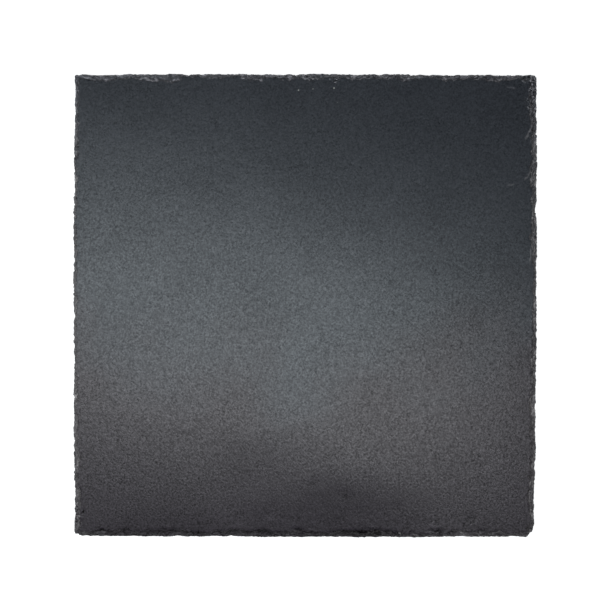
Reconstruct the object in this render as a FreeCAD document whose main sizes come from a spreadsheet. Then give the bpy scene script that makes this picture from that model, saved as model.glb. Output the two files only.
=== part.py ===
"""Square stone slab with dressed edges, standing on four self-adhesive rubber feet.

The slab is one split sheet of slate. Its edges are dressed by chipping: a steep bevel runs all round the
working face, above a narrow upright lip, and shell-shaped scars bite into it where flakes came away.
A rubber foot near each corner is held to the underside by a thin disc of adhesive.

Frame, in millimetres: +Z up, origin on the bench under the middle of the slab, -Y towards the front edge.
"""
import FreeCAD, Part
import os
import re
import Sketcher

# Driving dimensions: alias, value, what it measures.
SIZES = [
    ("slab_width", 300.0, "slab, left to right"),
    ("slab_depth", 300.0, "slab, front to rear"),
    ("slab_thickness", 6.0, "slab, underside to working face"),
    ("lip_height", 1.8, "upright wall left below the bevel"),
    ("bevel_width", 2.0, "how far the bevel runs in from the outline"),
    ("corner_front_left", 2.6, "leg of the broken corner, front left"),
    ("corner_front_right", 3.4, "leg of the broken corner, front right"),
    ("corner_rear_right", 1.6, "leg of the broken corner, rear right"),
    ("corner_rear_left", 0.7, "leg of the broken corner, rear left"),
    ("row_end_gap", 7.0, "room between the scars' centres and the end of a side"),
    ("long_scar_pitch", 31.0, "spacing of the long shallow scars"),
    ("long_scar_in", 1.1, "how far a long scar cuts in past the bevel, over the working face"),
    ("long_scar_down", 0.7, "how far a long scar cuts down past the bevel, into the lip"),
    ("long_scar_hollow", 0.25, "how far a long scar is dished below its chord"),
    ("short_scar_pitch", 23.0, "spacing of the short scooped scars"),
    ("short_scar_in", 0.6, "how far a short scar cuts in past the bevel, over the working face"),
    ("short_scar_down", 0.3, "how far a short scar cuts down past the bevel, into the lip"),
    ("short_scar_hollow", 0.6, "how far a short scar is dished below its chord"),
    ("deep_scar_pitch", 83.0, "spacing of the scars that cut right through the lip"),
    ("deep_scar_in", 2.3, "how far a deep scar cuts in past the bevel, over the working face"),
    ("deep_scar_down", 2.6, "how far a deep scar cuts down past the bevel, through the lip"),
    ("deep_scar_hollow", 0.3, "how far a deep scar is dished below its chord"),
    ("foot_inset", 28.0, "foot centre, in from the two nearest edges of the slab"),
    ("foot_diameter", 12.7, "foot, where it is stuck on"),
    ("foot_height", 3.5, "foot, bench to adhesive"),
    ("foot_draft", 0.9, "how much less the radius of the foot is at the bench"),
    ("foot_rim_radius", 0.8, "rounding of the rim that stands on the bench"),
    ("adhesive_setback", 0.6, "how far the adhesive stays inside the rim of the foot"),
    ("adhesive_thickness", 0.2, "adhesive, foot to slab"),
]
ALIASES = {alias for alias, _, _ in SIZES}

# Each corner's signs along X and Y, in order round the slab.
CORNERS = {
    "front_left": (-1, -1),
    "front_right": (1, -1),
    "rear_right": (1, 1),
    "rear_left": (-1, 1),
}
SPAN = {"x": "slab_width", "y": "slab_depth"}

# Start of the rows of scars along each axis, in pitches from the end of the side.
ROW_START = {
    "x": {"long": 0.35, "short": 0.80, "deep": 0.55},
    "y": {"long": 0.90, "short": 0.45, "deep": 0.20},
}

doc = FreeCAD.newDocument("stone_slab")


def make_sheet():
    sheet = doc.addObject("Spreadsheet::Sheet", "sizes")
    for row, (alias, value, note) in enumerate(SIZES, start=1):
        sheet.set(f"A{row}", alias)
        sheet.set(f"B{row}", str(value))
        sheet.set(f"C{row}", note)
        sheet.setAlias(f"B{row}", alias)
    doc.recompute()


def bind(thing, target, formula):
    """Ties a property to a formula written with the sheet's aliases."""
    linked = re.sub(r"[a-z_]+", lambda word: f"sizes.{word[0]}" if word[0] in ALIASES else word[0], formula)
    thing.setExpression(target, linked)


def new_piece(kind, name):
    piece = doc.addObject(kind, name)
    piece.Label = name
    return piece


def origin_part(body, role):
    return next(part for part in body.Origin.OriginFeatures if part.Role == role)


def outline_sketch(body, name, height, inset):
    """The slab's outline with its four broken corners, moved in by inset, at a height in the body."""
    sketch = body.newObject("Sketcher::SketchObject", name)
    sketch.AttachmentSupport = (origin_part(body, "XY_Plane"), [""])
    sketch.MapMode = "FlatFace"
    bind(sketch, "AttachmentOffset.Base.z", height)

    formulas, rough = [], []
    for corner, (sign_x, sign_y) in CORNERS.items():
        edge_x = f"{sign_x} * (slab_width / 2 - {inset})"
        edge_y = f"{sign_y} * (slab_depth / 2 - {inset})"
        leg = f"corner_{corner}"
        ends = [
            ((edge_x, f"{edge_y} - {sign_y} * {leg}"), FreeCAD.Vector(2 * sign_x, sign_y)),
            ((f"{edge_x} - {sign_x} * {leg}", edge_y), FreeCAD.Vector(sign_x, 2 * sign_y)),
        ]
        for formula, point in ends if sign_x == sign_y else reversed(ends):
            formulas.append(formula)
            rough.append(point)

    count = len(rough)
    for line in range(count):
        sketch.addGeometry(Part.LineSegment(rough[line], rough[(line + 1) % count]))
    for line in range(count):
        sketch.addConstraint(Sketcher.Constraint("Coincident", line, 2, (line + 1) % count, 1))
    for line, formula in enumerate(formulas):
        for kind, guess, value in zip(("DistanceX", "DistanceY"), rough[line], formula):
            index = sketch.addConstraint(Sketcher.Constraint(kind, line, 1, guess))
            bind(sketch, f"Constraints[{index}]", value)
    return sketch


def cut_scars(body, along, across, kind):
    """Two rows of scars, along two opposite sides of the slab, each the bite of a ball outside the edge.

    Seen end-on, the ball's circle passes through the working face a little in from the bevel and through the
    lip a little below it. The line between those two points is the scar's chord.
    """
    run_in = f"(bevel_width + {kind}_scar_in)"
    run_down = f"(slab_thickness - lip_height + {kind}_scar_down)"
    chord = f"sqrt({run_in} ^ 2 + {run_down} ^ 2)"
    hollow = f"{kind}_scar_hollow"
    radius = f"(({chord} ^ 2 / 4 + {hollow} ^ 2) / (2 * {hollow}))"
    stand_off = f"({radius} - {hollow}) / {chord}"
    outward = f"({SPAN[across]} / 2 - {run_in} / 2 + {run_down} * {stand_off})"
    upward = f"(slab_thickness - {run_down} / 2 + {run_in} * {stand_off})"
    start = f"(row_end_gap + {ROW_START[along][kind]} * {kind}_scar_pitch)"

    volume = body.Shape.Volume
    ball = body.newObject("PartDesign::SubtractiveSphere", f"{kind}_scar_{along}")
    ball.AttachmentSupport = (origin_part(body, "XY_Plane"), [""])
    ball.MapMode = "FlatFace"
    bind(ball, "Radius", radius)
    bind(ball, f"AttachmentOffset.Base.{along}", f"{start} - {SPAN[along]} / 2")
    bind(ball, f"AttachmentOffset.Base.{across}", f"-{outward}")
    bind(ball, "AttachmentOffset.Base.z", upward)

    rows = body.newObject("PartDesign::LinearPattern", f"{kind}_scars_{along}")
    rows.Originals = [ball]
    rows.Direction = (origin_part(body, f"{along.upper()}_Axis"), [""])
    rows.Mode = "Spacing"
    bind(rows, "Offset", f"{kind}_scar_pitch")
    bind(rows, "Occurrences", f"floor(({SPAN[along]} - row_end_gap - {start}) / {kind}_scar_pitch) + 1")
    rows.Direction2 = (origin_part(body, f"{across.upper()}_Axis"), [""])
    rows.Mode2 = "Extent"
    bind(rows, "Length2", f"2 * {outward}")
    rows.Occurrences2 = 2
    body.Tip = rows
    doc.recompute()
    if body.Shape.Volume >= volume:
        raise RuntimeError(f"the {kind} scars along {along} cut nothing")


def make_slab():
    body = new_piece("PartDesign::Body", "slab")
    bind(body, "Placement.Base.z", "foot_height + adhesive_thickness")

    lip = body.newObject("PartDesign::Pad", "lip")
    lip.Profile = outline_sketch(body, "lip_outline", "0", "0")
    bind(lip, "Length", "lip_height")

    bevel = body.newObject("PartDesign::AdditiveLoft", "bevel")
    bevel.Profile = outline_sketch(body, "bevel_foot", "lip_height", "0")
    bevel.Sections = [outline_sketch(body, "working_face", "slab_thickness", "bevel_width")]
    bevel.Ruled = True
    body.Tip = bevel
    doc.recompute()

    for along, across in (("x", "y"), ("y", "x")):
        for kind in ROW_START[along]:
            cut_scars(body, along, across, kind)
    return body


def at_corner(piece, corner, height):
    sign_x, sign_y = CORNERS[corner]
    bind(piece, "Placement.Base.x", f"{sign_x} * (slab_width / 2 - foot_inset)")
    bind(piece, "Placement.Base.y", f"{sign_y} * (slab_depth / 2 - foot_inset)")
    bind(piece, "Placement.Base.z", height)


def make_foot(corner):
    body = new_piece("PartDesign::Body", f"foot_{corner}")
    cone = body.newObject("PartDesign::AdditiveCone", f"rubber_{corner}")
    bind(cone, "Radius1", "foot_diameter / 2 - foot_draft")
    bind(cone, "Radius2", "foot_diameter / 2")
    bind(cone, "Height", "foot_height")
    doc.recompute()

    rim = min(range(len(cone.Shape.Edges)), key=lambda index: cone.Shape.Edges[index].CenterOfMass.z)
    rounding = body.newObject("PartDesign::Fillet", f"rim_{corner}")
    rounding.Base = (cone, [f"Edge{rim + 1}"])
    bind(rounding, "Radius", "foot_rim_radius")
    body.Tip = rounding
    at_corner(body, corner, "0")
    return body


def make_adhesive(corner):
    disc = new_piece("Part::Cylinder", f"adhesive_{corner}")
    bind(disc, "Radius", "foot_diameter / 2 - adhesive_setback")
    bind(disc, "Height", "adhesive_thickness")
    at_corner(disc, corner, "foot_height")
    return disc


def check(pieces):
    for thing in doc.Objects:
        if {"Invalid", "Error"} & set(thing.State):
            raise RuntimeError(f"{thing.Name} failed: {thing.State}")
    for piece in pieces:
        if piece.Shape.isNull() or not piece.Shape.isValid() or len(piece.Shape.Solids) != 1:
            raise RuntimeError(f"{piece.Label} is not one sound solid")


make_sheet()
pieces = [make_slab()]
for corner in CORNERS:
    pieces += [make_foot(corner), make_adhesive(corner)]
doc.recompute()
check(pieces)

os.makedirs("parts", exist_ok=True)
for piece in pieces:
    piece.Shape.exportStep(f"parts/{piece.Label}.step")
    box = piece.Shape.BoundBox
    print(f"{piece.Label}: {piece.Shape.Volume:.1f} mm3, {box.XLength:.2f} x {box.YLength:.2f} x {box.ZLength:.2f}")
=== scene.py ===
"""Looks of a square split-slate work slab that stands on four stick-on rubber feet.

The file is laid out as an add-on: its panel lists one button for each group of pieces and one for the
stage, and run as a script it presses them all in order. Lengths are in metres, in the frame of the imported
solids: +Z up, the bench at 0, and -Y towards the front edge.
"""
import math

import bpy
import numpy as np
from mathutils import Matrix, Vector


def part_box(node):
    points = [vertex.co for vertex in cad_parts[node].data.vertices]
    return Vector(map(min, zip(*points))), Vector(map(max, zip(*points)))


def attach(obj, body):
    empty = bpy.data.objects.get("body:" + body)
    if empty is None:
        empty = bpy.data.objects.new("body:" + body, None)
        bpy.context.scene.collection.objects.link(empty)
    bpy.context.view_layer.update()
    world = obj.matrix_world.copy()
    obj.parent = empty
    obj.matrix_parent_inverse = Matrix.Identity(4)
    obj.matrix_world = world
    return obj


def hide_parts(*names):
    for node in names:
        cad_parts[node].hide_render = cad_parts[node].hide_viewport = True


bl_info = {
    "name": "Split-slate work slab",
    "version": (1, 0, 0),
    "blender": (4, 5, 0),
    "location": "View3D > Sidebar > Slab",
    "description": "Builds the stone, its feet and a plain stage around the packed solids",
    "category": "Object",
}

MM = 0.001

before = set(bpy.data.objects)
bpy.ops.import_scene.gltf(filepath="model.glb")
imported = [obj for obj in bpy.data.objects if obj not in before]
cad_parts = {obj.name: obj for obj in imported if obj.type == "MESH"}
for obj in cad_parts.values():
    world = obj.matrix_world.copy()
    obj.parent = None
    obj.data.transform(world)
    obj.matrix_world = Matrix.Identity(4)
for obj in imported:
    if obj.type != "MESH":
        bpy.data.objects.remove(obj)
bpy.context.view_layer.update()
SLAB_LOW, SLAB_HIGH = (Vector(corner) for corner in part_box("slab"))
SLAB_HALF = (SLAB_HIGH.x - SLAB_LOW.x) / 2
SLAB_THICKNESS = SLAB_HIGH.z - SLAB_LOW.z
FEET = [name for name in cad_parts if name.startswith("foot_")]
ADHESIVES = [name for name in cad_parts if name.startswith("adhesive_")]

# The four sides in the order in which the stone's rows of points go round, clockwise seen from above. Each
# table gives, near the start, in the middle and near the end of a side: how far the dressing chips reach in,
# compared with the average, how chalky they are, how dark the painted shade in their crevices is, how evenly
# dusted they are, and how crumbly the outline is.
SIDES = ("rear", "right", "front", "left")
SIDE_PLACES = (0.04, 0.5, 0.96)
SIDE_REACH = {
    "rear": (1.0, 1.0, 1.1),
    "right": (1.4, 1.1, 0.9),
    "front": (1.4, 1.15, 0.95),
    "left": (0.9, 0.75, 0.6),
}
SIDE_CHALK = {
    "rear": (1.3, 1.1, 1.0),
    "right": (0.8, 1.35, 0.75),
    "front": (0.7, 0.2, 0.15),
    "left": (1.1, 1.6, 1.0),
}
SIDE_SHADE = {
    "rear": (0.5, 0.8, 1.0),
    "right": (1.0, 0.5, 0.65),
    "front": (0.5, 0.95, 1.0),
    "left": (0.7, 0.1, 0.35),
}
SIDE_DUST = {
    "rear": (0.12, 0.08, 0.05),
    "right": (0.03, 0.18, 0.09),
    "front": (0.06, 0.02, 0.02),
    "left": (0.2, 0.4, 0.1),
}
SIDE_CRUMBLE = {
    "rear": (1.0, 1.0, 1.0),
    "right": (1.1, 1.1, 1.0),
    "front": (0.7, 0.8, 0.8),
    "left": (1.4, 1.4, 1.4),
}

# How far the outline lies inside the square at four places along each side. The places are shares of the
# half side, from its middle towards +X or +Y.
BOW_PLACES = (-1.0, -0.5, 0.3, 1.0)
SIDE_BOW = {
    "rear": (0.3 * MM, 0.2 * MM, 0.1 * MM, 0.9 * MM),
    "right": (2.0 * MM, 0.6 * MM, 0.0, 0.2 * MM),
    "front": (1.2 * MM, 0.6 * MM, 0.0, 0.65 * MM),
    "left": (0.5 * MM, 0.3 * MM, 0.1 * MM, 1.1 * MM),
}

# How far the strokes of the struck edge have climbed inwards by each corner, in widths of a stroke, from the
# rear left clockwise and back to it: nearly all of the climb is along the right side.
STROKE_LEAN = (0.0, 0.0, 72.0, 80.0, 80.0)

# Radius of the broken corner at the start of each side. It shrinks by a share of the distance in from the
# edge, down to the least radius.
CORNER_RADIUS = {"rear": 0.5 * MM, "right": 2.4 * MM, "front": 7.2 * MM, "left": 3.2 * MM}
CORNER_TAPER = 0.6
LEAST_RADIUS = 0.05 * MM

# Shallow beds where a thin flake came off the working face: centre as shares of the slab's half side, the
# bed's half length and half width, its turn in degrees, and how raw it is. The rawer, the darker the bed is
# painted, partly as fresh dark stone and partly as painted shade.
FLAKE_BEDS = (
    ((0.04, -0.76), (7 * MM, 5 * MM), 10, 0.9),
    ((0.17, -0.81), (8 * MM, 5 * MM), -20, 0.95),
    ((0.40, -0.865), (5 * MM, 4 * MM), 30, 0.8),
    ((0.71, -0.91), (5 * MM, 4 * MM), 20, 1.0),
    ((0.255, -0.98), (31 * MM, 4.4 * MM), 0, 1.7),
    ((-0.03, -0.958), (6 * MM, 1.8 * MM), -12, 1.15),
    ((-0.19, -0.965), (5 * MM, 2.2 * MM), 0, 1.3),
    ((-0.46, -0.975), (5 * MM, 2 * MM), 0, 1.2),
    ((-0.57, -0.965), (5 * MM, 1.8 * MM), 0, 1.2),
    ((0.56, -0.965), (7 * MM, 1.6 * MM), 0, 1.2),
    ((-0.30, -0.975), (20 * MM, 3.2 * MM), 0, 1.0),
    ((-0.62, -0.965), (12 * MM, 3 * MM), 4, 1.0),
    ((0.39, 0.93), (14 * MM, 6 * MM), 0, 0.4),
    ((0.21, 0.86), (5 * MM, 2.5 * MM), 25, 0.75),
    ((-0.951, -0.882), (1.7 * MM, 1.2 * MM), 60, 1.8),
    ((-0.980, -0.852), (1.6 * MM, 1.1 * MM), 0, 1.8),
    ((-0.873, -0.959), (2.4 * MM, 1.2 * MM), 0, 1.5),
)

# Matt patches of the working face, in the same way.
MATT_PATCHES = (
    ((0.10, -0.87), (80 * MM, 32 * MM), 3, 1.0),
    ((0.08, -0.84), (26 * MM, 12 * MM), -25, 1.3),
    ((-0.17, -0.68), (54 * MM, 30 * MM), 0, 0.6),
    ((-0.85, -0.10), (80 * MM, 45 * MM), 10, 0.28),
    ((-0.50, -0.97), (90 * MM, 20 * MM), 0, 0.55),
)

# Hairline ridges between chips of the right side: middle as shares, half length, heading in degrees, and
# strength.
RIDGES = (
    ((0.961, 0.752), 8 * MM, 247, 0.6),
    ((0.985, 0.745), 5 * MM, 236, 0.5),
    ((0.980, 0.805), 7 * MM, 246, 0.5),
    ((0.970, 0.715), 5 * MM, 252, 0.35),
    ((0.955, 0.560), 5 * MM, 235, 0.4),
    ((0.985, 0.325), 6 * MM, 253, 0.8),
    ((0.988, 0.275), 3 * MM, 305, 0.5),
    ((0.965, 0.215), 7 * MM, 268, 0.35),
    ((0.880, 0.520), 3 * MM, 190, 0.3),
    ((0.883, 0.934), 4 * MM, 347, 0.35),
    ((0.935, 0.960), 2 * MM, 345, 0.5),
)

# Bruised patches, where the edge was crushed, not chipped: centre as shares, radius and strength.
BRUISES = (
    ((1.0, 1.0), 15 * MM, 1.0),
    ((1.02, 0.93), 14 * MM, 1.0),
    ((1.0, -1.0), 12 * MM, 0.6),
    ((-1.01, -0.91), 13 * MM, 0.9),
    ((-1.01, -0.76), 8 * MM, 0.6),
    ((0.985, 0.86), 11 * MM, 0.75),
    ((0.135, 0.97), 7 * MM, 0.6),
    ((0.99, 0.30), 9 * MM, 0.5),
    ((0.39, -1.0), 8 * MM, 0.5),
)

# Larger mineral grains in the working face: place as shares, and radius.
MINERAL_GRAINS = (
    ((-0.0285, 0.923), 0.60 * MM),
    ((0.0335, 0.928), 0.45 * MM),
    ((0.1235, 0.932), 0.65 * MM),
    ((-0.745, 0.985), 0.60 * MM),
)


def length(name, description, default):
    """A setting that holds a length in metres."""
    return bpy.props.FloatProperty(
        name=name, description=description, default=default, unit="LENGTH", subtype="DISTANCE", precision=5
    )


def colour(name, description, default):
    """A setting that holds a scene-linear colour."""
    return bpy.props.FloatVectorProperty(
        name=name, description=description, default=default, size=3, min=0.0, max=1.0, subtype="COLOR"
    )


def share(name, description, default, top=1.0):
    """A setting that holds a plain number from 0 to top."""
    return bpy.props.FloatProperty(name=name, description=description, default=default, min=0.0, max=top)


class StoneSettings(bpy.types.PropertyGroup):
    seed: bpy.props.IntProperty(
        name="Seed", description="Picks another stone of the same kind", default=7, min=0
    )
    bevel_width: length("Bevel width", "How far the dressed bevel runs in from the outline", 3.4 * MM)
    bevel_drop: length("Bevel drop", "How far the dressed bevel runs down the edge", 3.4 * MM)
    long_pitch: length("Long scar pitch", "Average spacing of the long scars", 19 * MM)
    long_reach: length("Long scar reach", "How far a long scar runs in over the face", 4.6 * MM)
    short_pitch: length("Short scar pitch", "Average spacing of the short scars", 8 * MM)
    short_reach: length("Short scar reach", "How far a short scar runs in over the face", 3.6 * MM)
    nibble_pitch: length("Nibble pitch", "Average spacing of the crumbs along the arris", 3.2 * MM)
    nibble_reach: length("Nibble reach", "How far a crumb runs in over the face", 2.4 * MM)
    scar_drop: length("Scar drop", "How deep the dressing scars bite", 4.4 * MM)
    layer: length("Layer", "Thickness of the stone's layers, seen as steps in the scars", 1.7 * MM)
    edge_sway: length("Edge sway", "How far the outline swings slowly inwards", 0.6 * MM)
    edge_crumble: length("Edge crumble", "How far the outline is nibbled inwards", 1.0 * MM)
    broad_relief: length("Broad relief", "Height of the slow swell of the split faces", 0.22 * MM)
    ripple_relief: length("Ripple relief", "Height of the ripples on the split faces", 0.16 * MM)
    bed_depth: length("Flake bed depth", "Depth of the shallow beds of lost flakes", 0.10 * MM)
    pit_depth: length("Pit depth", "Depth of the pits in the bruised patches", 0.7 * MM)
    front_droop: length("Front droop", "How far the face falls away to the middle of the front", 1.6 * MM)
    dark: colour("Dark slate", "The stone at its darkest, towards the front", (0.0090, 0.0076, 0.0094))
    pale: colour("Pale slate", "The stone at its palest, towards the front", (0.0450, 0.0372, 0.0490))
    dark_rear: colour("Dark slate, rear", "The same towards the rear", (0.0072, 0.0090, 0.0126))
    pale_rear: colour("Pale slate, rear", "The same towards the rear", (0.0350, 0.0398, 0.0512))
    sheen: colour("Sheen", "Tint of the stone's shine towards the front", (1.0, 0.94, 0.92))
    dust: colour("Crushed slate", "Stone bruised and crushed along the struck edge", (0.363, 0.338, 0.338))
    dust_rear: colour("Crushed slate, rear", "The same along the rear edge", (0.352, 0.338, 0.368))
    grain: colour("Mineral grain", "The pale mineral grains in the face", (0.34, 0.34, 0.32))


class FootSettings(bpy.types.PropertyGroup):
    rubber: colour("Rubber", "Moulded rubber of the feet", (0.012, 0.012, 0.013))
    adhesive: colour("Adhesive", "Pressure-sensitive film", (0.50, 0.50, 0.46))


class StageSettings(bpy.types.PropertyGroup):
    camera_height: length("Camera height", "Camera above the working face", 0.75)
    view_share: share("Slab in view", "How much of the picture's width the slab fills", 0.7663)
    strip_height: length("Strip height", "Strip lamp above the working face", 0.55)
    strip_length: length("Strip length", "Long side of the strip lamp", 0.68)
    strip_width: length("Strip width", "Short side of the strip lamp", 0.221)
    strip_colour: colour("Strip colour", "Colour of the strip lamp's light", (0.885, 0.965, 1.0))
    strip_power: share("Strip power", "Power of the strip lamp, in watts", 2.52, 100.0)
    zenith: share("Zenith", "Level of the even light from above", 0.105, 10.0)
    horizon: share("Horizon", "Level of the even light from low down", 0.8, 10.0)
    floor: colour("Floor", "Plain floor under the slab", (0.80, 0.80, 0.80))


# --------------------------------------------------------------------------------------------------
# Node sums


class Term:
    """A node socket that can be added, multiplied and so on: each sign adds a Math node to its tree."""

    def __init__(self, socket):
        self.socket = socket

    def __add__(self, other):
        return reckon("ADD", self, other)

    def __radd__(self, other):
        return reckon("ADD", other, self)

    def __sub__(self, other):
        return reckon("SUBTRACT", self, other)

    def __rsub__(self, other):
        return reckon("SUBTRACT", other, self)

    def __mul__(self, other):
        return reckon("MULTIPLY", self, other)

    def __truediv__(self, other):
        return reckon("DIVIDE", self, other)


def plug(value, slot):
    """Links a term to a node's input, or writes a plain value there."""
    if isinstance(value, Term):
        value = value.socket
    if isinstance(value, bpy.types.NodeSocket):
        slot.id_data.links.new(value, slot)
    else:
        slot.default_value = value


def reckon(operation, *terms):
    """The result of a Math node on terms and plain numbers."""
    tree = next(term.socket.id_data for term in terms if isinstance(term, Term))
    node = tree.nodes.new("ShaderNodeMath")
    node.operation = operation
    for term, slot in zip(terms, node.inputs):
        plug(term, slot)
    return Term(node.outputs[0])


def root(value):
    """The square root, or 0 below 0."""
    return reckon("SQRT", reckon("MAXIMUM", value, 0.0))


def largest(*values):
    found = values[0]
    for value in values[1:]:
        found = reckon("MAXIMUM", found, value)
    return found


def rise_between(value, low, high):
    """0 up to low, 1 from high on, and a smooth rise between."""
    node = value.socket.id_data.nodes.new("ShaderNodeMapRange")
    node.interpolation_type = "SMOOTHSTEP"
    plug(value, node.inputs["Value"])
    plug(low, node.inputs["From Min"])
    plug(high, node.inputs["From Max"])
    return Term(node.outputs["Result"])


def spread(value):
    """Stretches a noise, which seldom strays far from 0.5, to fill 0 to 1."""
    return rise_between(value, 0.3, 0.7)


def noise(tree, place, size, detail=3.0, roughness=0.55, seed=0.0, squeeze=(1, 1, 1)):
    """Fractal noise from 0 to 1 whose largest lumps are about size across, squeezed along the axes."""
    stretch = tree.nodes.new("ShaderNodeVectorMath")
    stretch.operation = "MULTIPLY"
    plug(place, stretch.inputs[0])
    stretch.inputs[1].default_value = [factor / size for factor in squeeze]
    node = tree.nodes.new("ShaderNodeTexNoise")
    node.noise_dimensions = "4D"
    plug(stretch.outputs[0], node.inputs["Vector"])
    plug(seed, node.inputs["W"])
    node.inputs["Scale"].default_value = 1.0
    node.inputs["Detail"].default_value = detail
    node.inputs["Roughness"].default_value = roughness
    return Term(node.outputs[0])


# --------------------------------------------------------------------------------------------------
# The stone's skin: square rings of points, closer towards the edge, round a plain grid on each face

# How many points a ring has to a side, how wide the band of close rings on the working face is and how many
# lie across it, how many steps lead up the edge, and how far in the close rings of the underside lie.
COLUMNS = 480
BAND = 9.2 * MM
TOP_RINGS = 20
WALL_STEPS = 8
UNDER_INSETS = (7.6 * MM, 4.6 * MM, 2.4 * MM, 1.1 * MM, 0.4 * MM)

# Further in on each face lie a wider ring and the grid that fills the rest.
TOP_RING, TOP_GRID = BAND + 1.3 * MM, BAND + 3.6 * MM
UNDER_RING, UNDER_GRID = BAND + 3 * MM, BAND + 8 * MM


def of_side(values, around):
    """A side's value at a place round the slab, blended along the side and round its corners."""
    places = [side + part for side in range(4) for part in SIDE_PLACES]
    return float(np.interp(around, places, [value for name in SIDES for value in values[name]], period=4))


def patch_share(patches, x, y):
    """How strongly a patch shows at a place: its own strength in its middle, and 0 from its rim outwards."""
    strongest = 0.0
    for (centre_x, centre_y), (half_long, half_wide), turn, strength in patches:
        cos, sin = math.cos(math.radians(turn)), math.sin(math.radians(turn))
        east, north = x - centre_x * SLAB_HALF, y - centre_y * SLAB_HALF
        long = (east * cos + north * sin) / half_long
        wide = (north * cos - east * sin) / half_wide
        strongest = max(strongest, strength * (1 - long * long - wide * wide))
    return strongest


def bruise_share(x, y):
    """How badly the stone is crushed at a place, from 0 to 1."""
    worst = 0.0
    for (centre_x, centre_y), radius, strength in BRUISES:
        distance = math.hypot(x - centre_x * SLAB_HALF, y - centre_y * SLAB_HALF)
        worst = max(worst, strength * (1 - distance / radius))
    return worst


def round_off(run, half, radii):
    """Moves a point of a square's side, run along from its middle, onto the arcs that round off its ends."""
    across = half
    for sign, radius in zip((-1, 1), radii):
        from_corner = half - sign * run
        if from_corner < radius:
            turn = (1 - from_corner / radius) * math.pi / 4
            run = sign * (half - radius * (1 - math.sin(turn)))
            across = half - radius * (1 - math.cos(turn))
    return run, across


def bowed(x, y):
    """Moves a point inwards with the bow of the two sides nearest to it."""
    bow_x = np.interp(y / SLAB_HALF, BOW_PLACES, SIDE_BOW["right" if x > 0 else "left"])
    bow_y = np.interp(x / SLAB_HALF, BOW_PLACES, SIDE_BOW["rear" if y > 0 else "front"])
    return x * (1 - float(bow_x) / SLAB_HALF), y * (1 - float(bow_y) / SLAB_HALF)


BY_SIDE = {
    "reach": SIDE_REACH,
    "chalk": SIDE_CHALK,
    "shade": SIDE_SHADE,
    "dusty": SIDE_DUST,
    "crumbly": SIDE_CRUMBLE,
}
FACTS = ("along", "inset", "lift", *BY_SIDE, "lean", "bed", "matt", "bruise")


class Skin:
    """Points and faces of a closed skin as they are added, with what each point knows of its place."""

    def __init__(self):
        self.points, self.faces = [], []
        self.facts = {key: [] for key in FACTS}

    def add(self, x, y, around, inset, lift):
        """Adds a point. Around counts the sides gone by, and lift is 0 underneath and 1 on top."""
        x, y = bowed(x, y)
        self.points.append((x, y, SLAB_LOW.z + lift * SLAB_THICKNESS))
        lean = float(np.interp(around, range(len(STROKE_LEAN)), STROKE_LEAN))
        by_side = [of_side(values, around) for values in BY_SIDE.values()]
        patches = (patch_share(FLAKE_BEDS, x, y), patch_share(MATT_PATCHES, x, y), bruise_share(x, y))
        on_top = (lift * patch for patch in patches)
        facts = (around * 2 * SLAB_HALF, inset, lift, *by_side, lean, *on_top)
        for values, fact in zip(self.facts.values(), facts):
            values.append(fact)
        return len(self.points) - 1

    def ring(self, inset, columns, lift):
        """A closed ring of points, from the rear left corner clockwise, with that many to a side."""
        half = SLAB_HALF - inset
        directions = (((1, 0), (0, 1)), ((0, -1), (1, 0)), ((-1, 0), (0, -1)), ((0, 1), (-1, 0)))
        ring = []
        for side, (forward, outward) in enumerate(directions):
            ends = (SIDES[side], SIDES[(side + 1) % 4])
            radii = [max(CORNER_RADIUS[end] - CORNER_TAPER * inset, LEAST_RADIUS) for end in ends]
            for column in range(columns):
                run, across = round_off(2 * half * column / columns - half, half, radii)
                x = run * forward[0] + across * outward[0]
                y = run * forward[1] + across * outward[1]
                ring.append(self.add(x, y, side + column / columns, inset, lift))
        return ring

    def plate(self, inset, cells, lift):
        """A grid that fills a face inside the rings. Returns its rim in the order of a ring."""
        half = SLAB_HALF - inset
        steps = [half * (2 * step / cells - 1) for step in range(cells + 1)]
        grid = [[self.add(x, y, 0.0, SLAB_HALF - max(abs(x), abs(y)), lift) for y in steps] for x in steps]
        for i in range(cells):
            for k in range(cells):
                face = (grid[i][k], grid[i + 1][k], grid[i + 1][k + 1], grid[i][k + 1])
                self.faces.append(face if lift else face[::-1])
        rear = [grid[i][cells] for i in range(cells)]
        right = [grid[cells][k] for k in range(cells, 0, -1)]
        front = [grid[i][0] for i in range(cells, 0, -1)]
        left = [grid[0][k] for k in range(cells)]
        return rear + right + front + left

    def join(self, first, second):
        """Faces from one ring to the next. Either may have twice as many points as the other."""
        count = max(len(first), len(second))
        first_step, second_step = count // len(first), count // len(second)
        for here in range(count):
            ahead = here + 1
            corners = (
                first[here // first_step],
                second[here // second_step],
                second[ahead // second_step % len(second)],
                first[ahead // first_step % len(first)],
            )
            self.faces.append(tuple(dict.fromkeys(corners)))


def stone_skin():
    """The plain closed skin of the slab, from the middle of the underside round the edge to the face."""
    skin = Skin()
    rings = [skin.plate(UNDER_GRID, COLUMNS // 4, 0.0), skin.ring(UNDER_RING, COLUMNS // 2, 0.0)]
    rings += [skin.ring(inset, COLUMNS, 0.0) for inset in UNDER_INSETS]
    rings += [skin.ring(0.0, COLUMNS, step / WALL_STEPS) for step in range(WALL_STEPS + 1)]
    for step in range(1, TOP_RINGS + 1):
        part = step / TOP_RINGS
        crowded = 0.45 * part + 0.55 * part * part
        rings.append(skin.ring(BAND * crowded, COLUMNS, 1.0))
    rings += [skin.ring(TOP_RING, COLUMNS // 2, 1.0), skin.plate(TOP_GRID, COLUMNS // 4, 1.0)]
    for first, second in zip(rings, rings[1:]):
        skin.join(first, second)

    mesh = bpy.data.meshes.new("slab_stone")
    mesh.from_pydata(skin.points, [], skin.faces)
    for name, values in skin.facts.items():
        mesh.attributes.new(name, "FLOAT", "POINT").data.foreach_set("value", values)
    return mesh


# --------------------------------------------------------------------------------------------------
# The stone's relief by nodes

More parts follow.
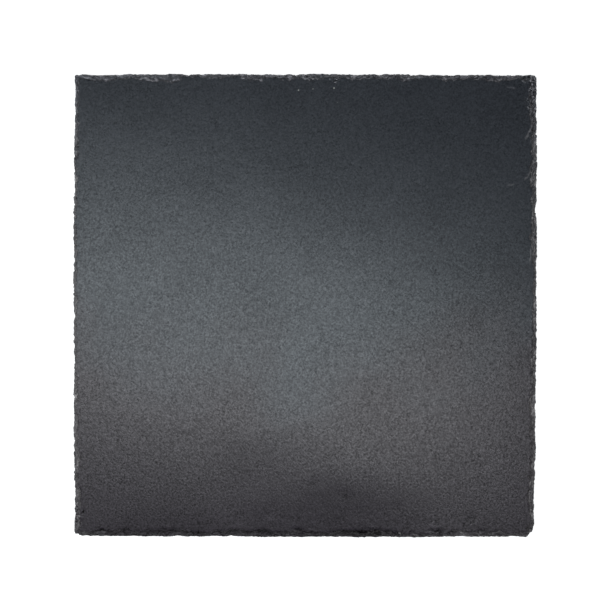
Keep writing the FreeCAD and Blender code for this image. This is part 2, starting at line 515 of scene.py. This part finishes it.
RELIEF_SIZES = (
    "bevel_width", "bevel_drop", "long_pitch", "long_reach", "short_pitch", "short_reach", "nibble_pitch",
    "nibble_reach", "scar_drop", "layer", "edge_sway", "edge_crumble", "broad_relief", "ripple_relief",
    "bed_depth", "pit_depth", "front_droop",
)

# The rows of scars along the edge, from the longest down to crumbs: the word that their sizes begin with, how
# deep they bite as a share of the scar drop, and their seed.
SCAR_ROWS = (("long", 1.0, 3.3), ("short", 1.0, 5.7), ("nibble", 0.6, 9.1))

# How far one step of the seed moves the noises, how much of the edge the deepest bite leaves, how far in the
# ragged outline takes the face along with it, and where the droop begins, as a share of the half depth.
SEED_STEP = 7.31
LEAST_LIP = 0.9 * MM
PULL_BAND = 7 * MM
DROOP_START = 0.45


class Relief:
    """The node tree that turns the plain skin into split stone with a dressed edge, and what it works out."""

    def __init__(self):
        self.tree = tree = bpy.data.node_groups.new("split stone", "GeometryNodeTree")
        tree.interface.new_socket("Geometry", in_out="INPUT", socket_type="NodeSocketGeometry")
        tree.interface.new_socket("Geometry", in_out="OUTPUT", socket_type="NodeSocketGeometry")
        tree.interface.new_socket("Stone", in_out="INPUT", socket_type="NodeSocketMaterial")
        for key in ("seed", *RELIEF_SIZES):
            tree.interface.new_socket(key, in_out="INPUT", socket_type="NodeSocketFloat")
        self.entry = tree.nodes.new("NodeGroupInput")
        self.size = {key: Term(self.entry.outputs[key]) for key in RELIEF_SIZES}
        self.seed = Term(self.entry.outputs["seed"]) * SEED_STEP
        self.position = tree.nodes.new("GeometryNodeInputPosition").outputs[0]
        axes = tree.nodes.new("ShaderNodeSeparateXYZ")
        plug(self.position, axes.inputs[0])
        self.x, self.y = Term(axes.outputs[0]), Term(axes.outputs[1])
        self.inset, self.lift = self.fact("inset"), self.fact("lift")

    def fact(self, name):
        """What the skin's points know under that name."""
        node = self.tree.nodes.new("GeometryNodeInputNamedAttribute")
        node.data_type = "FLOAT"
        node.inputs["Name"].default_value = name
        return Term(node.outputs["Attribute"])

    def noise(self, size, seed, **kind):
        """Noise over the skin. Every use has a seed of its own, which the stone's seed moves."""
        return noise(self.tree, self.position, size, seed=self.seed + seed, **kind)

    def dress(self):
        """A rough bevel, and three rows of scars from long ones down to crumbs, with a ragged inner edge."""
        size = self.size
        tatter = self.noise(2.8 * MM, 6.0, roughness=0.65) - 0.5
        tattered = largest(self.inset + tatter * 6 * MM, 0.0)
        reach = self.fact("reach") * (spread(self.noise(60 * MM, 18.0, detail=1.0)) * 0.5 + 0.75)
        rough = spread(self.noise(12 * MM, 0.0, detail=4.0))
        slope = largest(1 - tattered / (size["bevel_width"] * reach * (rough + 0.5)), 0.0)
        bevel = size["bevel_drop"] * reckon("POWER", slope, 1.5)
        self.dressing = largest(bevel, *(self.scar_row(tattered, reach, *row) for row in SCAR_ROWS), 0.0)

    def scar_row(self, inset, reach, kind, share_of_drop, seed):
        """How deep a row of shell-shaped scars bites: each cell of the row holds one, with its own sizes."""
        cell = self.tree.nodes.new("ShaderNodeTexVoronoi")
        cell.voronoi_dimensions = "1D"
        place = self.fact("along") / self.size[f"{kind}_pitch"] + (self.seed + seed)
        plug(place, cell.inputs["W"])
        cell.inputs["Scale"].default_value = 1.0
        chance = self.tree.nodes.new("ShaderNodeSeparateXYZ")
        plug(cell.outputs["Color"], chance.inputs[0])
        for_length, for_width, for_depth = (Term(output) for output in chance.outputs)

        off_centre = (place - Term(cell.outputs["W"])) / (for_length * 0.45 + 0.35)
        shell = root(1 - off_centre * off_centre)
        width = self.size[f"{kind}_reach"] * reach * shell * (for_width * 0.9 + 0.3)
        across = reckon("MINIMUM", inset / largest(width, 0.01 * MM), 1.0)
        deepest = self.size["scar_drop"] * share_of_drop * shell * (for_depth * 0.7 + 0.3)
        return deepest * reckon("POWER", 1 - across * across, 0.7)

    def break_in_layers(self):
        """The stone breaks in layers, so a scar is a flight of small uneven steps. Bruises are pitted."""
        layer = self.size["layer"]
        sway = self.noise(12 * MM, 1.0, detail=4.0) * 2.8
        self.level = self.dressing / layer + sway
        whole = reckon("FLOOR", self.level)
        stepped = (whole + rise_between(self.level - whole, 0.55, 1.0) - sway) * layer
        self.struck = rise_between(self.dressing, 0.0, 0.15 * MM)
        ragged = self.noise(3 * MM, 14.0) - 0.5
        self.crushed = rise_between(self.fact("bruise") + ragged * 1.5, 0.3, 0.6)
        pits = spread(self.noise(1.7 * MM, 16.0, detail=2.0)) * self.size["pit_depth"] * self.crushed
        drop = largest(self.dressing + (stepped - self.dressing) * 0.85 * self.struck, 0.0) + pits
        self.drop = reckon("MINIMUM", drop, SLAB_THICKNESS - LEAST_LIP)

    def height(self):
        """The split faces, always inside the plain solid and flat over the adhesive, less what broke away."""
        size, x = self.size, self.x
        swell = self.noise(85 * MM, 2.0, detail=2.0) * size["broad_relief"]
        ripple = self.noise(17 * MM, 4.0) * size["ripple_relief"]
        bed = self.fact("bed")
        torn = bed + (self.noise(4.5 * MM, 8.0, detail=4.0) - 0.5) * 2.4
        self.bedded = rise_between(torn, 0.1, 0.9) * rise_between(bed, 0.0, 0.2)
        split_face = swell + ripple
        southing = largest((self.y / -SLAB_HALF - DROOP_START) / (1 - DROOP_START), 0.0)
        droop = reckon("POWER", southing, 3.0) * size["front_droop"] * (1 - x * x * (0.6 / SLAB_HALF**2))

        under_z = SLAB_LOW.z + split_face * 1.4 * clear_of_feet(x, self.y)
        top_z = SLAB_HIGH.z - split_face - droop - self.bedded * size["bed_depth"] - self.drop
        top_z = largest(top_z, SLAB_LOW.z + LEAST_LIP)
        return under_z + self.lift * (top_z - under_z)

    def outline(self):
        """How much the plan shrinks at a point: the outline strays inwards, more where a scar bites deep."""
        swing = spread(self.noise(26 * MM, 10.0, detail=2.0)) * self.size["edge_sway"]
        crumble = spread(self.noise(3.8 * MM, 11.0, detail=4.0, roughness=0.75))
        crumble = crumble * self.size["edge_crumble"] * self.fact("crumbly")
        bite = largest(self.drop - self.size["bevel_drop"], 0.0) * 0.4
        layers = self.noise(9 * MM, 12.0, detail=2.0, squeeze=(1, 1, 14)) * 0.6 * MM
        layers = layers * (1 - rise_between(self.lift, 0.2, 0.7))
        pulled_in = (swing + crumble + bite + layers) * (1 - rise_between(self.inset, 0.0, PULL_BAND))
        return 1 - pulled_in / SLAB_HALF

    def move_points(self, shrink, height):
        """Takes the skin's points to their new places. Returns the moved skin."""
        place = self.tree.nodes.new("ShaderNodeCombineXYZ")
        for value, slot in zip((self.x * shrink, self.y * shrink, height), place.inputs):
            plug(value, slot)
        move = self.tree.nodes.new("GeometryNodeSetPosition")
        plug(self.entry.outputs["Geometry"], move.inputs["Geometry"])
        plug(place.outputs[0], move.inputs["Position"])
        return move.outputs[0]

    def tell_finish(self, geometry):
        """Stores what the finish needs: where the stone was struck, which layer shows, and so on."""
        lift = self.lift
        known = {
            "struck": self.struck * lift,
            "level": self.level,
            "dressing": self.dressing / MM,
            "crushed": self.crushed * lift,
            "bedded": self.bedded * lift,
            "wall": (1 - rise_between(lift, 0.9, 1.0)) * (1 - rise_between(self.inset, 0.0, 0.4 * MM)),
        }
        for name, value in known.items():
            node = self.tree.nodes.new("GeometryNodeStoreNamedAttribute")
            node.data_type = "FLOAT"
            node.domain = "POINT"
            plug(geometry, node.inputs["Geometry"])
            node.inputs["Name"].default_value = name
            plug(value, node.inputs["Value"])
            geometry = node.outputs["Geometry"]
        return geometry

    def end_tree(self, geometry):
        """Gives the skin its finish and hands it out."""
        realize = self.tree.nodes.new("GeometryNodeRealizeInstances")
        plug(geometry, realize.inputs[0])
        paint = self.tree.nodes.new("GeometryNodeSetMaterial")
        plug(realize.outputs[0], paint.inputs["Geometry"])
        plug(self.entry.outputs["Stone"], paint.inputs["Material"])
        plug(paint.outputs[0], self.tree.nodes.new("NodeGroupOutput").inputs[0])


def relief_tree():
    """The whole node tree, put together in the order in which its parts need each other."""
    relief = Relief()
    relief.dress()
    relief.break_in_layers()
    moved = relief.move_points(height=relief.height(), shrink=relief.outline())
    relief.end_tree(relief.tell_finish(moved))
    return relief.tree


def clear_of_feet(x, y):
    """0 over the adhesive of each foot, so that the stone is flat there, and 1 away from the feet."""
    away = 1.0
    for name in ADHESIVES:
        low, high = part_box(name)
        centre_x, centre_y = (low[0] + high[0]) / 2, (low[1] + high[1]) / 2
        radius = (high[0] - low[0]) / 2
        distance = root((x - centre_x) * (x - centre_x) + (y - centre_y) * (y - centre_y))
        away = rise_between(distance, radius * 1.1, radius * 2.5) * away
    return away


def apply_nodes(piece, tree, inputs):
    """Runs a node tree on a piece, keeps the result as its plain mesh and takes the modifier off again."""
    modifier = piece.modifiers.new(tree.name, "NODES")
    modifier.node_group = tree
    for socket in tree.interface.items_tree:
        if socket.in_out == "INPUT" and socket.name in inputs:
            modifier[socket.identifier] = inputs[socket.name]
    depsgraph = bpy.context.evaluated_depsgraph_get()
    finished = bpy.data.meshes.new_from_object(
        piece.evaluated_get(depsgraph), preserve_all_data_layers=True, depsgraph=depsgraph
    )
    piece.modifiers.clear()
    finished.name = piece.name
    piece.data = finished


# --------------------------------------------------------------------------------------------------
# Finishes


def new_finish(name):
    """A new material: returns it, its tree, its shader and its Object coordinates."""
    material = bpy.data.materials.new(name)
    material.use_nodes = True
    tree = material.node_tree
    shader = tree.nodes["Principled BSDF"]
    place = tree.nodes.new("ShaderNodeTexCoord").outputs["Object"]
    return material, tree, shader, place


def blend_colours(tree, share_of_second, first, second):
    """A mix of two colours, each a socket or three plain numbers."""
    node = tree.nodes.new("ShaderNodeMix")
    node.data_type = "RGBA"
    plug(share_of_second, node.inputs["Factor"])
    for value, slot in ((first, node.inputs["A"]), (second, node.inputs["B"])):
        if not isinstance(value, bpy.types.NodeSocket):
            value = (*value, 1.0)
        plug(value, slot)
    return node.outputs["Result"]


def bump(tree, height, amount, under=None):
    """Surface relief, amount metres high where height is 1, on top of the relief under it."""
    node = tree.nodes.new("ShaderNodeBump")
    plug(height, node.inputs["Height"])
    node.inputs["Distance"].default_value = amount
    if under:
        plug(under, node.inputs["Normal"])
    return node.outputs["Normal"]


class Slate:
    """The stone's material. Each method lays one more thing over the colour that is there so far."""

    def __init__(self, settings):
        self.settings = settings
        self.material, self.tree, self.shader, self.place = new_finish("slate")
        axes = self.tree.nodes.new("ShaderNodeSeparateXYZ")
        plug(self.place, axes.inputs[0])
        self.easting, self.northing, self.height = (Term(output) for output in axes.outputs)
        self.struck, self.crushed, self.wall = (self.fact(name) for name in ("struck", "crushed", "wall"))
        self.crumb = spread(self.noise(1.2 * MM, roughness=0.6, seed=7.0))
        by_rear = rise_between(self.northing, 0.5 * SLAB_HALF, SLAB_HALF)
        self.dust = blend_colours(self.tree, by_rear, settings.dust, settings.dust_rear)
        # Near-black: laid as painted shade in crevices and torn beds, and for dark crumbs and matt patches.
        self.black = [0.2 * channel for channel in settings.dark]

    def fact(self, name):
        """What the finished skin stores under that name."""
        node = self.tree.nodes.new("ShaderNodeAttribute")
        node.attribute_name = name
        return Term(node.outputs["Fac"])

    def noise(self, size, **kind):
        """Noise through the stone."""
        return noise(self.tree, self.place, size, **kind)

    def lay(self, share_of_it, laid):
        """Lays a colour over the stone, as thickly at each place as its share there."""
        self.stone = blend_colours(self.tree, share_of_it, self.stone, laid)

    def split_face(self):
        """Specks over slow clouds, bluer towards the rear, and stronger towards the front."""
        settings = self.settings
        cloud = spread(self.noise(70 * MM))
        self.patch = self.noise(4 * MM, detail=2.0, seed=1.0)
        self.fleck = self.noise(1.3 * MM, detail=1.0, seed=3.0)
        self.grit = self.noise(0.75 * MM, detail=1.0, seed=4.0)
        bluer = self.northing - reckon("ABSOLUTE", self.easting) * 0.3 + cloud * 40 * MM
        self.to_rear = rise_between(bluer, -0.55 * SLAB_HALF, 0.05 * SLAB_HALF)
        to_front = rise_between(self.northing * -1.0, 0.45 * SLAB_HALF, 0.8 * SLAB_HALF)
        matt = self.fact("matt") * (self.noise(14 * MM, detail=4.0, seed=11.0) * 1.2 + 0.4)
        self.matt = rise_between(matt, 0.0, 1.2)
        specks = (self.fleck - 0.5) * 1.7 + (self.grit - 0.5) * 1.2
        strength = 0.83 + to_front * 0.2 - self.to_rear * 0.08 - self.matt * 0.2
        strength = strength * (self.noise(6 * MM, detail=2.0, seed=2.0) * 1.4 + 0.3)
        self.shade = specks * strength + (cloud - 0.5) * 0.12 + (self.patch - 0.5) * 0.15 + 0.5
        self.stone = blend_colours(
            self.tree,
            self.to_rear,
            blend_colours(self.tree, self.shade, settings.dark, settings.pale),
            blend_colours(self.tree, self.shade, settings.dark_rear, settings.pale_rear),
        )

    def lost_flakes(self):
        """Beds where a flake came off, torn and near-black: partly fresh dark stone, partly painted shade."""
        torn = self.fact("bed") * 0.8 + (self.noise(2.6 * MM, detail=4.0, roughness=0.7) - 0.5) * 2.4
        torn = torn + (self.crumb - 0.5) * 0.5
        # Partly painted shade: the torn beds are laid near-black, for fresh dark stone lying in shadow.
        self.raw_bed_and_shade = rise_between(torn, 0.45, 1.3) * 0.85 + self.fact("bedded") * 0.15
        self.lay(largest(self.raw_bed_and_shade, self.matt * 0.12), self.black)

    def struck_edge(self):
        """Chalky lips and painted shade in crevices where the layers end, strokes that follow the edge, and
        dust.
        """
        crumb, struck = self.crumb, self.struck
        depth = self.fact("dressing")
        level = self.fact("level") + (self.noise(2.5 * MM, seed=5.0) - 0.5) * 0.9
        self.whole = reckon("FLOOR", level)
        self.step = step = level - self.whole
        chalk = spread(self.noise(4 * MM, detail=4.0, roughness=0.65, seed=6.0))
        patchy = spread(self.noise(12 * MM, seed=10.0)) * 0.7 + 0.55
        stroke = self.strokes(depth)

        # Painted shade: the crevices at the ends of the layers, the inner verge of the struck band and the
        # dark strokes are laid near-black, as if in shadow.
        crevice_shade = rise_between(step, 0.78, 0.9) * (1 - chalk * 0.5)
        verge_shade = (1 - rise_between(depth + chalk, 0.5, 1.6)) * rise_between(crumb, 0.15, 0.5)
        shaded_stroke = 1 - rise_between(stroke, 0.36, 0.48)
        self.painted_shade = largest(crevice_shade, verge_shade, shaded_stroke) * self.fact("shade") * struck
        self.lay(self.painted_shade, self.black)

        lip = rise_between(step, 0.3, 0.5) * (1 - rise_between(step, 0.55, 0.75))
        rim = rise_between(depth, 1.2, 3.6)
        pale_stroke = rise_between(stroke, 0.5, 0.6) * (rim * 0.4 + 0.55)
        chalked = largest(lip * chalk * 0.8, pale_stroke, rim * 0.3) * (crumb * 0.7 + 0.6)
        self.chalked = chalked * patchy * self.fact("chalk") * struck
        on_top = rise_between(self.height, SLAB_LOW.z + 1 * MM, SLAB_LOW.z + 3 * MM)
        self.ridge = hairline_ridges(self.tree, self.place) * on_top
        dusted = largest(self.chalked, self.ridge * (crumb * 0.6 + 0.15), self.fact("dusty") * struck)
        self.lay(dusted, self.dust)

    def strokes(self, depth):
        """Noise drawn out along the edge. Depth is the depth of the dressing in millimetres."""
        run = self.tree.nodes.new("ShaderNodeCombineXYZ")
        plug(self.fact("along") / (4.6 * MM), run.inputs[0])
        plug(depth / 0.8 + self.fact("lean"), run.inputs[1])
        return noise(self.tree, run.outputs[0], 1.0, roughness=0.65, seed=8.0)

    def bruises_wall_and_grains(self):
        """Pale and dark crumbs where the stone is crushed, layers in the wall, and mineral grains."""
        self.dark_crumb = (1 - rise_between(self.crumb, 0.1, 0.4)) * self.crushed * 0.9
        self.pale_crumb = rise_between(self.crumb, 0.6, 0.85) * self.crushed
        self.strata = spread(self.noise(9 * MM, detail=4.0, seed=9.0, squeeze=(1, 1, 16)))
        self.lay(self.dark_crumb, self.black)
        self.lay(largest(self.pale_crumb, self.strata * self.wall * 0.5), self.dust)
        self.lay(mineral_grains(self.tree, self.place), self.settings.grain)

    def shine(self):
        """Pale specks shine most. The painted shade in crevices and torn beds takes the shine away there, and
        dust dulls it.
        """
        # Where shade is painted, in crevices and torn beds, the shine is taken away too.
        shine = (self.shade * 0.65 + 0.35) * (1 - largest(self.painted_shade, self.dark_crumb) * 0.85)
        shine = shine * (1 - self.raw_bed_and_shade * 0.8) * (1 - self.matt * 0.45)
        shine = shine * (1 - largest(self.chalked, self.pale_crumb) * 0.5)
        glint = blend_colours(self.tree, self.to_rear, self.settings.sheen, (1, 1, 1))
        plug(blend_colours(self.tree, shine, (0, 0, 0), glint), self.shader.inputs["Specular Tint"])
        self.shader.inputs["Specular IOR Level"].default_value = 0.7
        roughness = 0.37 - (self.fleck - 0.5) * 0.15 + self.struck * 0.1
        plug(roughness + largest(self.painted_shade, self.crushed) * 0.2, self.shader.inputs["Roughness"])

    def fine_relief(self):
        """Relief too fine for the mesh, each kind with its height."""
        rough = 1.8 - self.to_rear * 0.8
        steps = rise_between(self.step, 0.5, 1.0) + self.whole
        normal = None
        for height, amount in (
            (self.patch, 0.06 * MM),
            (self.fleck * rough, 0.055 * MM),
            (self.grit * rough, 0.03 * MM),
            (steps * self.struck * -1.0, 0.35 * MM),
            (self.ridge, 0.15 * MM),
            (self.crumb * largest(self.crushed, self.struck * 0.4), 0.25 * MM),
            (self.strata * self.wall, 0.3 * MM),
        ):
            normal = bump(self.tree, height, amount, normal)
        plug(normal, self.shader.inputs["Normal"])


def slate_finish(settings):
    """Split slate with a dressed edge."""
    slate = Slate(settings)
    slate.split_face()
    slate.lost_flakes()
    slate.struck_edge()
    slate.bruises_wall_and_grains()
    plug(slate.stone, slate.shader.inputs["Base Color"])
    slate.shine()
    slate.fine_relief()
    return slate.material


def hairline_ridges(tree, place):
    """1 along the hairline ridges between chips, fading towards their ends, and 0 beside them."""
    wobble = (noise(tree, place, 4 * MM, detail=4.0, roughness=0.7, seed=12.0) - 0.5) * 3.5 * MM
    ridges = 0.0
    for (share_x, share_y), half_long, heading, strength in RIDGES:
        cos, sin = math.cos(math.radians(heading)), math.sin(math.radians(heading))
        runs = []
        for direction in ((cos, sin, 0), (-sin, cos, 0)):
            dot = tree.nodes.new("ShaderNodeVectorMath")
            dot.operation = "DOT_PRODUCT"
            plug(place, dot.inputs[0])
            dot.inputs[1].default_value = direction
            middle = SLAB_HALF * (share_x * direction[0] + share_y * direction[1])
            runs.append(Term(dot.outputs["Value"]) - middle)
        beside = rise_between(reckon("ABSOLUTE", runs[1] + wobble), 0.15 * MM, 0.8 * MM)
        beyond = rise_between(reckon("ABSOLUTE", runs[0]), half_long * 0.4, half_long)
        ridges = largest((1 - beside) * (1 - beyond) * strength, ridges)
    return ridges


def mineral_grains(tree, place):
    """1 on a mineral grain and 0 beside it: the few larger ones, and a thin scatter of tiny ones."""
    cell = tree.nodes.new("ShaderNodeTexVoronoi")
    plug(place, cell.inputs["Vector"])
    cell.inputs["Scale"].default_value = 1 / (7 * MM)
    chance = tree.nodes.new("ShaderNodeSeparateXYZ")
    plug(cell.outputs["Color"], chance.inputs[0])
    picked = rise_between(Term(chance.outputs[0]), 0.88, 0.9) * 0.25
    on_grain = (1 - rise_between(Term(cell.outputs["Distance"]), 0.03, 0.06)) * picked
    for (share_x, share_y), radius in MINERAL_GRAINS:
        gap = tree.nodes.new("ShaderNodeVectorMath")
        gap.operation = "DISTANCE"
        plug(place, gap.inputs[0])
        gap.inputs[1].default_value = (share_x * SLAB_HALF, share_y * SLAB_HALF, SLAB_HIGH.z)
        on_grain = largest(on_grain, 1 - rise_between(Term(gap.outputs["Value"]), radius * 0.5, radius))
    return on_grain


def rubber_finish(settings):
    """Moulded black rubber with a faint bloom."""
    material, tree, shader, place = new_finish("foot rubber")
    bloom = noise(tree, place, 2.2 * MM)
    pale = [channel * 1.9 for channel in settings.rubber]
    plug(blend_colours(tree, bloom, settings.rubber, pale), shader.inputs["Base Color"])
    plug(0.55 + bloom * 0.2, shader.inputs["Roughness"])
    skin = noise(tree, place, 0.25 * MM, detail=2.0, seed=1.0)
    plug(bump(tree, skin, 0.01 * MM), shader.inputs["Normal"])
    return material


def adhesive_finish(settings):
    """Milky film, clouded by the glue."""
    material, tree, shader, place = new_finish("foot adhesive")
    cloud = noise(tree, place, 1.5 * MM)
    dull = [channel * 0.8 for channel in settings.adhesive]
    plug(blend_colours(tree, cloud, settings.adhesive, dull), shader.inputs["Base Color"])
    plug(0.3 + cloud * 0.25, shader.inputs["Roughness"])
    return material


# --------------------------------------------------------------------------------------------------
# One button for each group of pieces, and one for the stage

# Creases of the stone sharper than this stay sharp.
SHARP_ANGLE = math.radians(38)

# Where the strip lamp and the camera stand, off the middle of the slab, and how far the lamp is turned.
STRIP_PLACE = (-0.108, -0.035)
STRIP_TURN = math.radians(-13.5)
CAMERA_PLACE = (-0.10 * MM, 0.52 * MM)

# Half the floor's width, and where its own light sets in: under the slab's edge, and again far out. The
# camera sees that light, reflections see a little of it, and it lights nothing.
FLOOR_HALF = 30 * SLAB_HALF
EDGE_GLOW = (SLAB_HALF - 16 * MM, SLAB_HALF - 2 * MM)
FAR_GLOW = (1.5 * SLAB_HALF, 5 * SLAB_HALF)


def link(name, data):
    """A new object in the scene."""
    piece = bpy.data.objects.new(name, data)
    bpy.context.scene.collection.objects.link(piece)
    return piece


class SLAB_OT_stone(bpy.types.Operator):
    """Builds the split stone with its dressed edge in place of its plain solid"""

    bl_idname = "slab.stone"
    bl_label = "Stone"

    def execute(self, context):
        settings = context.scene.slab_stone
        stone = link("slab_stone", stone_skin())
        inputs = {key: getattr(settings, key) for key in RELIEF_SIZES}
        inputs["seed"] = float(settings.seed)
        inputs["Stone"] = slate_finish(settings)
        apply_nodes(stone, relief_tree(), inputs)
        stone.data.shade_smooth()
        stone.data.set_sharp_from_angle(angle=SHARP_ANGLE)
        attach(stone, "root")
        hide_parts("slab")
        return {"FINISHED"}


class SLAB_OT_feet(bpy.types.Operator):
    """Gives the rubber feet and their adhesive discs their finishes"""

    bl_idname = "slab.feet"
    bl_label = "Feet"

    def execute(self, context):
        settings = context.scene.slab_feet
        for names, finish in ((FEET, rubber_finish(settings)), (ADHESIVES, adhesive_finish(settings))):
            for name in names:
                for material_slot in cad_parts[name].material_slots:
                    material_slot.material = finish
        return {"FINISHED"}


class SLAB_OT_stage(bpy.types.Operator):
    """Sets the plain pale floor, the strip lamp in an evenly lit room, and the camera straight above"""

    bl_idname = "slab.stage"
    bl_label = "Stage"

    def execute(self, context):
        settings = context.scene.slab_stage
        self.lay_floor(settings)
        self.light(context, settings)
        self.aim_camera(context, settings)
        context.scene.view_settings.view_transform = "Standard"
        return {"FINISHED"}

    def lay_floor(self, settings):
        """A plain floor that looks white to the camera, but for the slab's shadow."""
        mesh = bpy.data.meshes.new("floor")
        corners = [(FLOOR_HALF * x, FLOOR_HALF * y, 0) for x, y in ((-1, -1), (1, -1), (1, 1), (-1, 1))]
        mesh.from_pydata(corners, [], [(0, 1, 2, 3)])
        floor = link("floor", mesh)
        material, tree, shader, place = new_finish("floor")
        shader.inputs["Base Color"].default_value = (*settings.floor, 1.0)
        shader.inputs["Roughness"].default_value = 1.0
        shader.inputs["Specular IOR Level"].default_value = 0.0
        axes = tree.nodes.new("ShaderNodeSeparateXYZ")
        plug(place, axes.inputs[0])
        beside = largest(*(reckon("ABSOLUTE", Term(axes.outputs[axis])) for axis in (0, 1)))
        clear = rise_between(beside, *EDGE_GLOW)
        far = rise_between(beside, *FAR_GLOW)
        rays = tree.nodes.new("ShaderNodeLightPath")
        straight = Term(rays.outputs["Is Camera Ray"])
        seen = largest(straight, Term(rays.outputs["Is Glossy Ray"]) * 0.3)
        shader.inputs["Emission Color"].default_value = (1, 1, 1, 1)
        plug(seen * (clear * 0.65 + 0.1) + straight * far * 0.25, shader.inputs["Emission Strength"])
        mesh.materials.append(material)

    def light(self, context, settings):
        """One long strip lamp, and a room whose even light is strongest low down and towards the rear."""
        lamp = bpy.data.lights.new("strip", "AREA")
        lamp.shape = "RECTANGLE"
        lamp.size = settings.strip_length
        lamp.size_y = settings.strip_width
        lamp.energy = settings.strip_power
        lamp.color = settings.strip_colour
        strip = link("strip", lamp)
        strip.location = (*STRIP_PLACE, SLAB_HIGH.z + settings.strip_height)
        strip.rotation_euler = (0, 0, STRIP_TURN)
        strip.visible_camera = False

        world = bpy.data.worlds.new("room")
        world.use_nodes = True
        tree = world.node_tree
        background = tree.nodes["Background"]
        background.inputs["Color"].default_value = (1, 1, 1, 1)
        direction = tree.nodes.new("ShaderNodeSeparateXYZ")
        plug(tree.nodes.new("ShaderNodeTexCoord").outputs["Generated"], direction.inputs[0])
        height, northing = Term(direction.outputs[2]), Term(direction.outputs[1])
        low_down = (1 - rise_between(height, 0.1, 0.75)) * (rise_between(northing, -1.0, 0.3) * 0.85 + 0.15)
        level = settings.zenith + low_down * (settings.horizon - settings.zenith)
        rays = tree.nodes.new("ShaderNodeLightPath")
        seen = Term(rays.outputs["Is Camera Ray"])
        plug(seen + (1 - seen) * level, background.inputs["Strength"])
        context.scene.world = world

    def aim_camera(self, context, settings):
        """A camera that looks straight down, with the slab as wide in its view as the settings say."""
        camera = bpy.data.cameras.new("camera")
        camera.sensor_width = 36.0
        view_width = 2 * SLAB_HALF / settings.view_share
        camera.lens = camera.sensor_width * settings.camera_height / view_width
        holder = link("camera", camera)
        holder.location = (*CAMERA_PLACE, SLAB_HIGH.z + settings.camera_height)
        context.scene.camera = holder


class SLAB_PT_panel(bpy.types.Panel):
    """Lists the slab's pieces and their sizes"""

    bl_idname = "SLAB_PT_panel"
    bl_label = "Split-slate slab"
    bl_space_type = "VIEW_3D"
    bl_region_type = "UI"
    bl_category = "Slab"

    def draw(self, context):
        for operator, group in zip(OPERATORS, GROUPS):
            box = self.layout.box()
            box.operator(operator.bl_idname)
            settings = getattr(context.scene, group)
            for key in settings.__annotations__:
                box.prop(settings, key)


OPERATORS = (SLAB_OT_stone, SLAB_OT_feet, SLAB_OT_stage)
GROUPS = {"slab_stone": StoneSettings, "slab_feet": FootSettings, "slab_stage": StageSettings}
CLASSES = (*GROUPS.values(), *OPERATORS, SLAB_PT_panel)


def register():
    for kind in CLASSES:
        bpy.utils.register_class(kind)
    for name, group in GROUPS.items():
        setattr(bpy.types.Scene, name, bpy.props.PointerProperty(type=group))


def unregister():
    for name in GROUPS:
        delattr(bpy.types.Scene, name)
    for kind in reversed(CLASSES):
        bpy.utils.unregister_class(kind)


def main():
    register()
    bpy.ops.slab.stone()
    bpy.ops.slab.feet()
    bpy.ops.slab.stage()


if __name__ == "__main__":
    main()
